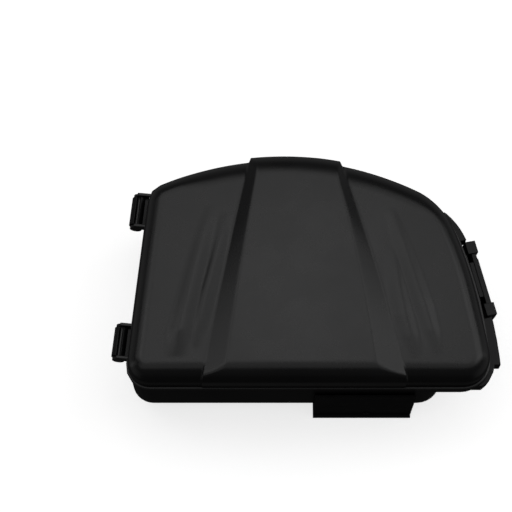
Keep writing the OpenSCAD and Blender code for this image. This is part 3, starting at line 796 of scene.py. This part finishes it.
# %% Black moulded polypropylene
def fresh(name):
    """A new material: its tree, its shader and the Object coordinates."""
    material = bpy.data.materials.new(name)
    material.use_nodes = True
    tree = material.node_tree
    tree.nodes.clear()
    shader = add(tree, "ShaderNodeBsdfPrincipled")
    add(tree, "ShaderNodeOutputMaterial", {"Surface": shader.outputs[0]})
    where = add(tree, "ShaderNodeTexCoord").outputs["Object"]
    return material, tree, shader, where


def ramp_between(tree, factor, low, high, a=0.0, b=1.0):
    """A value or a colour that runs from low to high as the factor runs from a to b."""
    made = add(tree, "ShaderNodeValToRGB", {"Fac": factor})
    made.color_ramp.elements[0].position, made.color_ramp.elements[1].position = a, b
    made.color_ramp.elements[0].color, made.color_ramp.elements[1].color = low, high
    return made.outputs["Color"]


def grey(v):
    return (v, v, v, 1.0)


def moulded_plastic(name, dark, light, painted_edge_highlight, rough, grain_mm, grain, specular):
    """Polypropylene from a spark-eroded mould: a fine even grain, and a painted highlight that lightens every edge."""
    material, tree, shader, where = fresh(name)
    bevel = add(tree, "ShaderNodeBevel", {"Radius": 0.45 * MM}, samples=6)
    flat = add(tree, "ShaderNodeNewGeometry")
    turn = add(tree, "ShaderNodeVectorMath", {0: bevel.outputs[0], 1: flat.outputs["Normal"]}, operation="DOT_PRODUCT")
    # Painted highlight: the colour turns to a lighter grey at every edge, as where rounded edges catch the light
    painted_highlight_mask = ramp_between(tree, turn.outputs["Value"], grey(1), grey(0), 0.80, 0.985)
    cloud = add(tree, "ShaderNodeTexNoise", {"Vector": where, "Scale": 1 / (24 * MM), "Detail": 3, "Roughness": 0.55})
    fine = add(tree, "ShaderNodeTexNoise", {"Vector": where, "Scale": 1 / (grain_mm * MM), "Detail": 2})
    flow = add(tree, "ShaderNodeTexNoise", {"Vector": where, "Scale": 1 / (3.2 * MM), "Detail": 4})
    body = ramp_between(tree, cloud.outputs["Fac"], linear(dark), linear(light), 0.1, 0.9)
    colour = add(tree, "ShaderNodeMix", {"Factor": painted_highlight_mask, "A": body, "B": linear(painted_edge_highlight)}, data_type="RGBA")
    tree.links.new(colour.outputs["Result"], shader.inputs["Base Color"])
    patch = ramp_between(tree, cloud.outputs["Fac"], grey(rough - 0.06), grey(rough + 0.08), 0.0, 1.0)
    tree.links.new(patch, shader.inputs["Roughness"])
    waves = add(tree, "ShaderNodeBump", {"Height": flow.outputs["Fac"], "Strength": 0.25, "Distance": 0.012 * MM,
                                         "Normal": bevel.outputs[0]})
    bump = add(tree, "ShaderNodeBump", {"Height": fine.outputs["Fac"], "Strength": grain, "Distance": 0.02 * MM,
                                        "Normal": waves.outputs[0]})
    tree.links.new(bump.outputs[0], shader.inputs["Normal"])
    shader.inputs["IOR"].default_value = 1.49
    shader.inputs["Specular IOR Level"].default_value = specular
    return material


# The third colour of each plastic is the painted highlight along its edges
# The cover's grain is drawn at 0.5 mm, coarser than the real 0.1 mm, so that it shows at all
cover_plastic = moulded_plastic("moulded_polypropylene_cover", "#0b0b0c", "#101011", "#1b1b1d", 0.27, 0.5, 0.22, 0.5)
bowl_plastic = moulded_plastic("moulded_polypropylene_bowl", "#060607", "#0c0c0d", "#19191b", 0.38, 0.6, 0.26, 0.3)
print("plastics made:", cover_plastic.name, bowl_plastic.name)

# %% [markdown]
# ## Steel, coated and plated
#
# The bracket and its screws are dipped in black paint, and the pin, nut, sleeves and wire screen are zinc
# plated. Paint is a dull layer over the metal, so it is not metallic. Zinc is: its colour is the colour of
# its reflections, and tiny crystals break them up.

# %% Steel, coated and plated
def coated_steel():
    """Cathodic dip paint on pressed steel: satin black with a faint orange peel and softly rounded edges."""
    material, tree, shader, where = fresh("black_dipped_steel")
    peel = add(tree, "ShaderNodeTexNoise", {"Vector": where, "Scale": 1 / (1.4 * MM), "Detail": 2})
    scuff = add(tree, "ShaderNodeTexNoise", {"Vector": where, "Scale": 1 / (9 * MM), "Detail": 6, "Roughness": 0.7})
    tree.links.new(ramp_between(tree, scuff.outputs["Fac"], linear("#030304"), linear("#08080a"), 0.3, 0.8),
                   shader.inputs["Base Color"])
    tree.links.new(ramp_between(tree, scuff.outputs["Fac"], grey(0.42), grey(0.58), 0.3, 0.7),
                   shader.inputs["Roughness"])
    bevel = add(tree, "ShaderNodeBevel", {"Radius": 0.3 * MM}, samples=4)
    shader.inputs["Specular IOR Level"].default_value = 0.25
    bump = add(tree, "ShaderNodeBump", {"Height": peel.outputs["Fac"], "Strength": 0.3, "Distance": 0.03 * MM,
                                        "Normal": bevel.outputs[0]})
    tree.links.new(bump.outputs[0], shader.inputs["Normal"])
    return material


def plated_steel():
    """Zinc plate, passivated blue-white: a metal with small crystals and a slightly uneven gloss."""
    material, tree, shader, where = fresh("zinc_plated_steel")
    crystal = add(tree, "ShaderNodeTexVoronoi", {"Vector": where, "Scale": 1 / (0.7 * MM)})
    streak = add(tree, "ShaderNodeTexNoise", {"Vector": where, "Scale": 1 / (2.5 * MM), "Detail": 5})
    tree.links.new(ramp_between(tree, streak.outputs["Fac"], linear("#8f959b"), linear("#b9bdc0"), 0.3, 0.7),
                   shader.inputs["Base Color"])
    tree.links.new(ramp_between(tree, streak.outputs["Fac"], grey(0.26), grey(0.42), 0.3, 0.7),
                   shader.inputs["Roughness"])
    bump = add(tree, "ShaderNodeBump", {"Height": crystal.outputs["Distance"], "Strength": 0.15, "Distance": 0.02 * MM})
    tree.links.new(bump.outputs[0], shader.inputs["Normal"])
    shader.inputs["Metallic"].default_value = 1.0
    return material


black_steel, zinc_steel = coated_steel(), plated_steel()
print("steels made:", black_steel.name, zinc_steel.name)

# %% [markdown]
# ## Rubber, polyurethane, paper and foam
#
# The soft parts have almost no gloss. What tells them apart is colour and the size of their texture, so
# one function makes all four: blotches of two tones, and a bump as fine as the stuff it stands for.

# %% Rubber, polyurethane, paper and foam
def soft_stuff(name, dark, light, rough, patch_mm, grain_mm, depth_mm, texture="ShaderNodeTexNoise", sheen=0.0):
    """A soft material: blotchy colour, a broken surface and almost no gloss."""
    material, tree, shader, where = fresh(name)
    patch = add(tree, "ShaderNodeTexNoise", {"Vector": where, "Scale": 1 / (patch_mm * MM), "Detail": 4})
    grain = add(tree, texture, {"Vector": where, "Scale": 1 / (grain_mm * MM)})
    height = grain.outputs["Fac" if texture == "ShaderNodeTexNoise" else "Distance"]
    tone = add(tree, "ShaderNodeMath", {0: patch.outputs["Fac"], 1: height}, operation="MULTIPLY")
    tree.links.new(ramp_between(tree, tone.outputs[0], linear(dark), linear(light), 0.08, 0.5),
                   shader.inputs["Base Color"])
    tree.links.new(ramp_between(tree, patch.outputs["Fac"], grey(rough - 0.06), grey(rough + 0.04), 0.3, 0.7),
                   shader.inputs["Roughness"])
    bump = add(tree, "ShaderNodeBump", {"Height": height, "Strength": 0.8, "Distance": depth_mm * MM})
    tree.links.new(bump.outputs[0], shader.inputs["Normal"])
    shader.inputs["Sheen Weight"].default_value = sheen
    return material


# Nitrile rubber blooms to a dull grey-black
nitrile = soft_stuff("nitrile_rubber", "#0c0c0d", "#1c1c1e", 0.62, 5, 0.3, 0.03)
# Cast polyurethane takes the gloss of its mould in patches
urethane = soft_stuff("cast_polyurethane", "#17181a", "#2a2b2e", 0.5, 7, 0.5, 0.04)
# Resin-treated cellulose: long fibres, drawn at 0.3 mm
paper = soft_stuff("filter_paper_resin_treated", "#b79a5c", "#e2cf9c", 0.85, 3, 0.3, 0.06)
# Reticulated foam at about 20 cells an inch: 1.3 mm cells
cell_foam = soft_stuff("open_cell_foam", "#030304", "#35373b", 0.9, 8, 1.3, 0.9, "ShaderNodeTexVoronoi", 0.3)
print("soft finishes made:", 4)

# %% [markdown]
# ## Pleats by Geometry Nodes
#
# One fold is a strip that rises and falls once. The tree bends a flat grid into that fold, puts a copy at
# each mark and stretches it to the length marked there. The paper is then given its real thickness.

# %% Pleats by Geometry Nodes
PLEAT_LOW, PLEAT_HIGH, PAPER_THICK = 21.8, 14.9, 0.5
marks = new_piece("fold_marks", np.column_stack([fold_x, fold_y.mean(1), 0 * fold_x + PLEAT_LOW]), [])
reach = marks.data.attributes.new("reach", "FLOAT", "POINT")
reach.data.foreach_set("value", ((fold_y[:, 1] - fold_y[:, 0]) * MM).astype(np.float32))

tree, given, result = node_group("pleats", ["Pitch", "Height"])
sheet = add(tree, "GeometryNodeMeshGrid", {"Size X": given.outputs["Pitch"], "Size Y": 1.0,
                                           "Vertices X": 13, "Vertices Y": 2})
place = add(tree, "GeometryNodeInputPosition")
split = add(tree, "ShaderNodeSeparateXYZ", {0: place.outputs[0]})
phase = add(tree, "ShaderNodeMath", {0: split.outputs["X"], 1: given.outputs["Pitch"]}, operation="DIVIDE")
turnover = add(tree, "ShaderNodeMath", {0: phase.outputs[0], 1: 2 * math.pi}, operation="MULTIPLY")
wave = add(tree, "ShaderNodeMath", {0: turnover.outputs[0]}, operation="COSINE")
# An arcsine of the wave makes straight flanks, and taking 0.93 of it leaves the crests round.
# 1.1944 is the arcsine of 0.93, so the fold runs from 0 to its full height.
tamed = add(tree, "ShaderNodeMath", {0: wave.outputs[0], 1: 0.93}, operation="MULTIPLY")
straight = add(tree, "ShaderNodeMath", {0: tamed.outputs[0]}, operation="ARCSINE")
lift = add(tree, "ShaderNodeMapRange", {"Value": straight.outputs[0], "From Min": -1.1944, "From Max": 1.1944,
                                        "To Min": 0.0, "To Max": given.outputs["Height"]})
raised = add(tree, "ShaderNodeCombineXYZ", {"Z": lift.outputs[0]})
folded = add(tree, "GeometryNodeSetPosition", {"Geometry": sheet.outputs["Mesh"], "Offset": raised.outputs[0]})
span = add(tree, "GeometryNodeInputNamedAttribute", {"Name": "reach"}, data_type="FLOAT")
size = add(tree, "ShaderNodeCombineXYZ", {"X": 1.0, "Y": span.outputs[0], "Z": 1.0})
copies = add(tree, "GeometryNodeInstanceOnPoints", {"Points": given.outputs["Geometry"], "Instance": folded.outputs[0],
                                                    "Scale": size.outputs[0]})
real = add(tree, "GeometryNodeRealizeInstances", {"Geometry": copies.outputs[0]})
dressed = add(tree, "GeometryNodeSetMaterial", {"Geometry": real.outputs[0], "Material": given.outputs["Material"]})
tree.links.new(dressed.outputs[0], result.inputs[0])
pleats = grown("paper_pleats", marks, tree, {"Pitch": PITCH * MM, "Height": PLEAT_HIGH * MM, "Material": paper})
thick = pleats.modifiers.new("paper thickness", "SOLIDIFY")
thick.thickness, thick.offset = PAPER_THICK * MM, 0.0
print("pleats", len(pleats.data.polygons), "faces")

# %% [markdown]
# ## Wire screen by Geometry Nodes
#
# The screen backs the paper so that it can't be sucked into the engine. Each wire is an edge between two
# marks, and the tree runs a six-sided section along it. The two layers lie one on the other instead of
# weaving over and under, which can't be told apart at this size. The pitch is 2.5 mm, for clearness.

# %% Wire screen by Geometry Nodes
MESH, WIRE_R = 2.5, 0.2
points, wires = [], []
for axis, start, stop in ((0, -68, 54), (1, -36, 50)):
    at = np.arange(start, stop, MESH)
    for w, (a, b) in zip(at, crossings(PAPER_IN, at, axis)):
        height = 21.25 if axis == 0 else 21.55
        ends = [(w, a, height), (w, b, height)] if axis == 0 else [(a, w, height), (b, w, height)]
        wires.append((len(points), len(points) + 1))
        points += ends
mesh = bpy.data.meshes.new("wire_marks")
mesh.from_pydata((np.array(points) * MM).tolist(), wires, [])
marks = bpy.data.objects.new("wire_marks", mesh)
bpy.context.scene.collection.objects.link(marks)

tree, given, result = node_group("screen", ["Wire"])
lines = add(tree, "GeometryNodeMeshToCurve", {"Mesh": given.outputs["Geometry"]})
section = add(tree, "GeometryNodeCurvePrimitiveCircle", {"Resolution": 6, "Radius": given.outputs["Wire"]})
drawn = add(tree, "GeometryNodeCurveToMesh", {"Curve": lines.outputs[0], "Profile Curve": section.outputs[0],
                                              "Fill Caps": True})
real = add(tree, "GeometryNodeRealizeInstances", {"Geometry": drawn.outputs[0]})
dressed = add(tree, "GeometryNodeSetMaterial", {"Geometry": real.outputs[0], "Material": given.outputs["Material"]})
tree.links.new(dressed.outputs[0], result.inputs[0])
screen = grown("wire_screen", marks, tree, {"Wire": WIRE_R * MM, "Material": zinc_steel})
print("screen", len(wires), "wires,", len(screen.data.polygons), "faces")

# %% [markdown]
# ## Putting the pieces on their bodies
#
# The frame has three bodies: the base, the cover and the latch. A piece rides on one of them, so that it moves
# when the cover opens or the latch swings, and the CAD node that it stands for is hidden.

# %% Putting the pieces on their bodies
for piece in (cover_shell, cover_ribs, hinge_pins, latch_tongue):
    seat(piece, "cover", "cover", cover_plastic)
seat(latch_made, "latch", "latch", bowl_plastic)
seat(bowl_made, "base", "base_bowl", bowl_plastic)
seat(grille_made, "base", "inlet_grille", bowl_plastic)
seat(bracket_made, "base", "support_bracket", black_steel)
seat(nut_made, "base", "bracket_nut", zinc_steel)
seat(screws_made, "base", "bracket_screws", black_steel)
seat(pin_made, "base", "latch_pin", zinc_steel)
seat(sleeves_made[0], "base", "mount_sleeve_left", zinc_steel)
seat(sleeves_made[1], "base", "mount_sleeve_right", zinc_steel)
seat(seal_made, "base", "intake_seal", nitrile)
seat(grommet_made, "base", "breather_grommet", nitrile)
seat(filter_rim_made, "base", "filter_frame", urethane)
seat(pleats, "base", "filter_paper", paper)
seat(screen, "base", "filter_screen", zinc_steel)
seat(foam, "base", "foam_precleaner", cell_foam)

# %% [markdown]
# ## Table
#
# The housing lies on a plain white table. The table shines a little by itself so that it stays white under
# soft light. It is hidden from reflections, because black plastic would mirror it and turn grey.

# %% Table
floor = new_piece("table", [(-3000, -3000, -0.05), (3000, -3000, -0.05), (3000, 3000, -0.05), (-3000, 3000, -0.05)],
                  [(0, 1, 2, 3)])
table, tree, shader, where = fresh("white_table_paper")
fibre = add(tree, "ShaderNodeTexNoise", {"Vector": where, "Scale": 1 / (60 * MM), "Detail": 3})
tree.links.new(ramp_between(tree, fibre.outputs["Fac"], linear("#f6f6f6"), linear("#fbfbfb")),
               shader.inputs["Base Color"])
shader.inputs["Roughness"].default_value = 0.9
shader.inputs["Emission Color"].default_value = (1, 1, 1, 1)
shader.inputs["Emission Strength"].default_value = 0.72
floor.data.materials.append(table)
floor.visible_glossy = False
floor.visible_diffuse = False
floor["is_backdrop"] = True
print("table made")

# %% [markdown]
# ## Light
#
# Black plastic shows its shape almost only by what it mirrors, so the lights are large and soft. Five
# softboxes overhead each fill a window of the sky and light the flats evenly, and a strip on each side
# draws the rounded edges. The room is dim and darkest below, which keeps the front walls black.

# %% Light
def softbox(name, place, aim, width, deep, radiance):
    """A rectangular lamp whose face has the given brightness, whatever its size."""
    lamp = bpy.data.lights.new(name, "AREA")
    lamp.shape, lamp.size, lamp.size_y = "RECTANGLE", width, deep
    lamp.energy = radiance * math.pi * width * deep
    made = bpy.data.objects.new(name, lamp)
    bpy.context.scene.collection.objects.link(made)
    made.location = place
    made.rotation_euler = (Vector(aim) - Vector(place)).to_track_quat("-Z", "Y").to_euler()
    return made


def overhead(name, from_angle, to_angle, low_angle, high_angle, radiance, distance=1.2):
    """A softbox that fills a window of the sky, in degrees from straight up: sideways, and towards +Y."""
    side, back = math.radians((from_angle + to_angle) / 2), math.radians((low_angle + high_angle) / 2)
    way = Vector((math.tan(side), math.tan(back), 1)).normalized()
    wide = 2 * distance * math.tan(math.radians(abs(to_angle - from_angle) / 2))
    deep = 2 * distance * math.tan(math.radians((high_angle - low_angle) / 2))
    aim = Vector((0, 0, 0.04))
    return softbox(name, aim + way * distance, aim, wide, deep, radiance)


overhead("overhead_left", -33, 2, 4, 41, 0.76)
overhead("overhead_right", 2, 28, 4, 41, 0.66)
overhead("far_left", -50, -33, 0, 36, 0.6)
overhead("far_right", 28, 60, 0, 36, 0.92)
overhead("front_fill", -45, 50, -28, 4, 0.34)
softbox("left_strip", (-1.1, -0.1, 0.22), (0, 0, 0.04), 0.12, 1.0, 0.5)
softbox("right_strip", (1.0, 0.2, 0.42), (0, 0, 0.04), 0.14, 1.0, 0.4)

world = bpy.data.worlds.new("studio_room")
bpy.context.scene.world = world
world.use_nodes = True
tree = world.node_tree
tree.nodes.clear()
around = add(tree, "ShaderNodeTexCoord").outputs["Generated"]
upward = add(tree, "ShaderNodeSeparateXYZ", {0: around})
room = ramp_between(tree, upward.outputs["Z"], grey(0.02), grey(0.07), 0.0, 0.4)
# A lighter band round the horizon, which the walls mirror when the housing is seen from the side or
# from behind. It is dim in front, where the lower rounding would mirror it as a bright line.
level = add(tree, "ShaderNodeMath", {0: upward.outputs["Z"], 1: 0.12}, operation="ADD")
far = add(tree, "ShaderNodeMath", {0: level.outputs[0]}, operation="ABSOLUTE")
band = ramp_between(tree, far.outputs[0], grey(0.16), grey(0), 0.25, 0.55)
behind = ramp_between(tree, upward.outputs["Y"], grey(0.0), grey(1.0), 0.0, 0.25)
beside = add(tree, "ShaderNodeMath", {0: upward.outputs["X"]}, operation="ABSOLUTE")
beside = ramp_between(tree, beside.outputs[0], grey(0.1), grey(1.0), 0.45, 0.85)
share = add(tree, "ShaderNodeVectorMath", {0: behind, 1: beside}, operation="MAXIMUM")
band = add(tree, "ShaderNodeVectorMath", {0: band, 1: share.outputs[0]}, operation="MULTIPLY").outputs[0]
total = add(tree, "ShaderNodeVectorMath", {0: room, 1: band}, operation="ADD")
glow = add(tree, "ShaderNodeBackground", {"Color": total.outputs[0], "Strength": 1.0})
add(tree, "ShaderNodeOutputWorld", {"Surface": glow.outputs[0]})
bpy.context.scene.view_settings.view_transform = "Standard"

# %% [markdown]
# ## The visual box
#
# The visual model is meant to fill the same box as the CAD model. Its box is printed in millimetres.

# %% The visual box
low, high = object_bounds()
print("visual box in mm:", [round((b - a) / MM, 1) for a, b in zip(low, high)])
